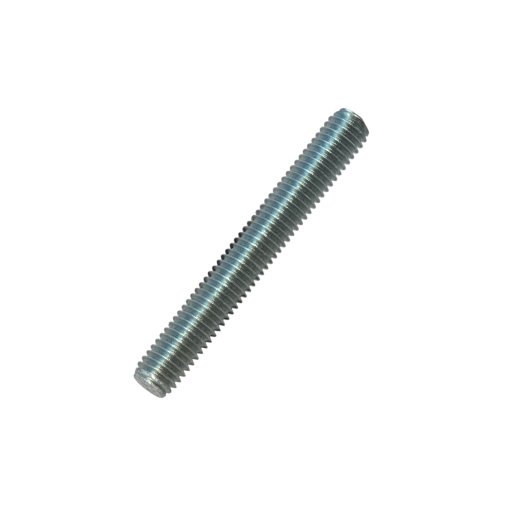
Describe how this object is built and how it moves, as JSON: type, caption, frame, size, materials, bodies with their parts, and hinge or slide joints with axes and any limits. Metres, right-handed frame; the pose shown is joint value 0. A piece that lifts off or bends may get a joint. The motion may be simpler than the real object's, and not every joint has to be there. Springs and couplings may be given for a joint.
{
  "type": "threaded rod",
  "caption": "Short straight metal rod with a right-hand metric coarse thread from end to end and a flat face inside a long chamfer at each end, the lower one cut off at a slant on one side.",
  "frame": {"origin": "centre of the flat face at the lower end, on the surface that the rod stands on", "axes": "+Z along the rod from the lower end face to the upper one; the crest of the thread leaves the lower end 312 degrees about +Z from +X, and the slanted corner lies 205 degrees about it"},
  "size_m": [0.0078, 0.0078, 0.06],
  "materials": {
    "zinc_plated_steel": "bright zinc plating with a faint blue and straw tint, satin to semi-bright, no coating over it"
  },
  "bodies": {
    "root": {"threaded_rod": "zinc_plated_steel"}
  },
  "joints": []
}
